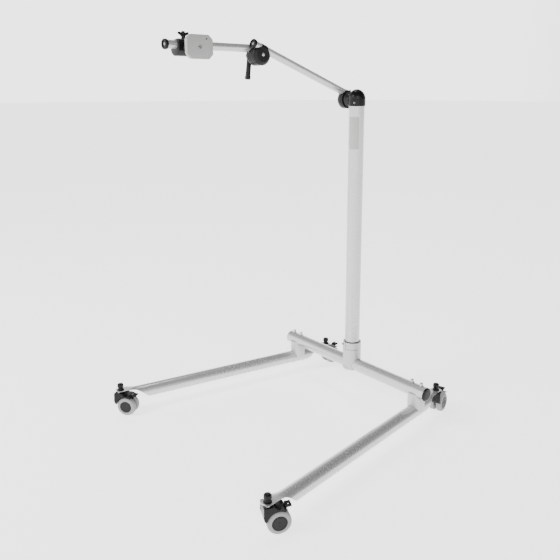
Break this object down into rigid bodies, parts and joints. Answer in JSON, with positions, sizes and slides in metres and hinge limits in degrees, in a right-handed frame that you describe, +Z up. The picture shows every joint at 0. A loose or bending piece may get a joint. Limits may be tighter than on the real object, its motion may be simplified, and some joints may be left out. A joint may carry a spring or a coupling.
{
  "type": "articulated floor stand",
  "caption": "Rolling floor stand: an H base on braked twin-wheel casters, a column and a jointed tube arm that holds a small device plate.",
  "frame": {"origin": "on the floor, under the middle of the whole stand", "axes": "+Z up; -Y is the side the arm and the long legs point to; +X is the side the device plate faces"},
  "size_m": [0.6959, 0.7116, 0.965],
  "materials": {
    "silver_tube": "satin",
    "screw_steel": "bright",
    "black_plastic": "satin",
    "grey_tyre": "matt",
    "plate_grey": "satin"
  },
  "bodies": {
    "base": {"cross_tube": "silver_tube", "cross_cap_left": "black_plastic", "cross_cap_right": "black_plastic", "leg_left": "silver_tube", "saddle_left": "silver_tube", "leg_plug_front_left": "black_plastic", "leg_plug_rear_left": "black_plastic", "top_screw_left_1": "screw_steel", "low_screw_left_1": "screw_steel", "top_screw_left_2": "screw_steel", "low_screw_left_2": "screw_steel", "leg_right": "silver_tube", "saddle_right": "silver_tube", "leg_plug_front_right": "black_plastic", "leg_plug_rear_right": "black_plastic", "top_screw_right_1": "screw_steel", "low_screw_right_1": "screw_steel", "top_screw_right_2": "screw_steel", "low_screw_right_2": "screw_steel", "column_sleeve": "silver_tube", "caster_nut_front_left": "black_plastic", "caster_nut_front_right": "black_plastic", "caster_nut_rear_left": "black_plastic", "caster_nut_rear_right": "black_plastic"},
    "sleeve_screw": {"sleeve_clamp_screw": "screw_steel"},
    "column": {"column_tube": "silver_tube", "column_head": "black_plastic"},
    "lower_arm": {"shoulder_drum": "black_plastic", "shoulder_screw": "black_plastic", "arm_lower_tube": "silver_tube", "arm_lower_cap": "black_plastic"},
    "elbow_carriage": {"elbow_lower_head": "black_plastic", "elbow_bolt": "screw_steel"},
    "elbow_turn": {"elbow_upper_head": "black_plastic"},
    "lever": {"elbow_lever": "black_plastic"},
    "upper_arm": {"arm_upper_tube": "silver_tube", "arm_upper_cap": "black_plastic"},
    "clamp": {"device_clamp": "black_plastic"},
    "wing": {"wing_screw": "black_plastic"},
    "plate": {"device_plate": "plate_grey"},
    "swivel_front_left": {"caster_hood_front_left": "black_plastic", "caster_axle_front_left": "screw_steel"},
    "wheel_a_front_left": {"caster_wheel_front_left_a": "grey_tyre"},
    "wheel_b_front_left": {"caster_wheel_front_left_b": "grey_tyre"},
    "pedal_front_left": {"brake_pedal_front_left": "black_plastic"},
    "swivel_front_right": {"caster_hood_front_right": "black_plastic", "caster_axle_front_right": "screw_steel"},
    "wheel_a_front_right": {"caster_wheel_front_right_a": "grey_tyre"},
    "wheel_b_front_right": {"caster_wheel_front_right_b": "grey_tyre"},
    "pedal_front_right": {"brake_pedal_front_right": "black_plastic"},
    "swivel_rear_left": {"caster_hood_rear_left": "black_plastic", "caster_axle_rear_left": "screw_steel"},
    "wheel_a_rear_left": {"caster_wheel_rear_left_a": "grey_tyre"},
    "wheel_b_rear_left": {"caster_wheel_rear_left_b": "grey_tyre"},
    "pedal_rear_left": {"brake_pedal_rear_left": "black_plastic"},
    "swivel_rear_right": {"caster_hood_rear_right": "black_plastic", "caster_axle_rear_right": "screw_steel"},
    "wheel_a_rear_right": {"caster_wheel_rear_right_a": "grey_tyre"},
    "wheel_b_rear_right": {"caster_wheel_rear_right_b": "grey_tyre"},
    "pedal_rear_right": {"brake_pedal_rear_right": "black_plastic"}
  },
  "joints": [
    {"name": "column_turn", "type": "hinge", "parent": "base", "child": "column", "pos_m": [-0.007, 0.20824, 0.16], "axis": [0, 0, 1], "continuous": true},
    {"name": "sleeve_screw_turn", "type": "hinge", "parent": "base", "child": "sleeve_screw", "pos_m": [-0.0188, 0.18574, 0.157], "axis": [1, 0, 0], "continuous": true},
    {"name": "shoulder", "type": "hinge", "parent": "column", "child": "lower_arm", "pos_m": [-0.049, 0.20824, 0.82], "axis": [-1, 0, 0], "range_deg": [-70, 50]},
    {"name": "elbow_slide", "type": "slide", "parent": "lower_arm", "child": "elbow_carriage", "axis": [0, -0.9367, 0.3502], "range_m": [-0.1, 0]},
    {"name": "elbow", "type": "hinge", "parent": "elbow_carriage", "child": "elbow_turn", "pos_m": [-0.059, -0.06433, 0.92191], "axis": [-1, 0, 0], "range_deg": [-90, 90]},
    {"name": "elbow_lever_turn", "type": "hinge", "parent": "elbow_carriage", "child": "lever", "pos_m": [-0.087, -0.06433, 0.92191], "axis": [1, 0, 0], "range_deg": [-60, 60]},
    {"name": "upper_arm_slide", "type": "slide", "parent": "elbow_turn", "child": "upper_arm", "axis": [0, 1, 0], "range_m": [0, 0.1]},
    {"name": "clamp_roll", "type": "hinge", "parent": "upper_arm", "child": "clamp", "pos_m": [-0.0693, -0.25576, 0.93641], "axis": [0, -1, 0], "range_deg": [-120, 120]},
    {"name": "wing_screw_turn", "type": "hinge", "parent": "clamp", "child": "wing", "pos_m": [-0.0693, -0.25576, 0.93641], "axis": [0, 0, 1], "continuous": true},
    {"name": "plate_turn", "type": "hinge", "parent": "clamp", "child": "plate", "pos_m": [-0.007, -0.25576, 0.92941], "axis": [1, 0, 0], "continuous": true},
    {"name": "swivel_front_left", "type": "hinge", "parent": "base", "child": "swivel_front_left", "pos_m": [-0.3296, -0.33567, 0.06], "axis": [0, 0, 1], "continuous": true},
    {"name": "spin_a_front_left", "type": "hinge", "parent": "swivel_front_left", "child": "wheel_a_front_left", "pos_m": [-0.32061, -0.31469, 0.025], "axis": [-0.6157, 0.788, 0], "continuous": true},
    {"name": "spin_b_front_left", "type": "hinge", "parent": "swivel_front_left", "child": "wheel_b_front_left", "pos_m": [-0.30706, -0.33203, 0.025], "axis": [-0.6157, 0.788, 0], "continuous": true},
    {"name": "pedal_front_left", "type": "hinge", "parent": "swivel_front_left", "child": "pedal_front_left", "pos_m": [-0.3006, -0.31302, 0.0541], "axis": [-0.6157, 0.788, 0], "range_deg": [0, 20]},
    {"name": "swivel_front_right", "type": "hinge", "parent": "base", "child": "swivel_front_right", "pos_m": [0.3156, -0.33567, 0.06], "axis": [0, 0, 1], "continuous": true},
    {"name": "spin_a_front_right", "type": "hinge", "parent": "swivel_front_right", "child": "wheel_a_front_right", "pos_m": [0.31368, -0.31293, 0.025], "axis": [-0.9135, 0.4067, 0], "continuous": true},
    {"name": "spin_b_front_right", "type": "hinge", "parent": "swivel_front_right", "child": "wheel_b_front_right", "pos_m": [0.33378, -0.32188, 0.025], "axis": [-0.9135, 0.4067, 0], "continuous": true},
    {"name": "pedal_front_right", "type": "hinge", "parent": "swivel_front_right", "child": "pedal_front_right", "pos_m": [0.33056, -0.30205, 0.0541], "axis": [-0.9135, 0.4067, 0], "range_deg": [0, 20]},
    {"name": "swivel_rear_left", "type": "hinge", "parent": "base", "child": "swivel_rear_left", "pos_m": [-0.22519, 0.30893, 0.06], "axis": [0, 0, 1], "continuous": true},
    {"name": "spin_a_rear_left", "type": "hinge", "parent": "swivel_rear_left", "child": "wheel_a_rear_left", "pos_m": [-0.23688, 0.32853, 0.025], "axis": [-0.9994, -0.0349, 0], "continuous": true},
    {"name": "spin_b_rear_left", "type": "hinge", "parent": "swivel_rear_left", "child": "wheel_b_rear_left", "pos_m": [-0.2149, 0.3293, 0.025], "axis": [-0.9994, -0.0349, 0], "continuous": true},
    {"name": "pedal_rear_left", "type": "hinge", "parent": "swivel_rear_left", "child": "pedal_rear_left", "pos_m": [-0.22648, 0.3457, 0.0541], "axis": [-0.9994, -0.0349, 0], "range_deg": [0, 20]},
    {"name": "swivel_rear_right", "type": "hinge", "parent": "base", "child": "swivel_rear_right", "pos_m": [0.21119, 0.30893, 0.06], "axis": [0, 0, 1], "continuous": true},
    {"name": "spin_a_rear_right", "type": "hinge", "parent": "swivel_rear_right", "child": "wheel_a_rear_right", "pos_m": [0.19511, 0.32512, 0.025], "axis": [-0.9613, -0.2756, 0], "continuous": true},
    {"name": "spin_b_rear_right", "type": "hinge", "parent": "swivel_rear_right", "child": "wheel_b_rear_right", "pos_m": [0.21625, 0.33119, 0.025], "axis": [-0.9613, -0.2756, 0], "continuous": true},
    {"name": "pedal_rear_right", "type": "hinge", "parent": "swivel_rear_right", "child": "pedal_rear_right", "pos_m": [0.20105, 0.3443, 0.0541], "axis": [-0.9613, -0.2756, 0], "range_deg": [0, 20]}
  ]
}
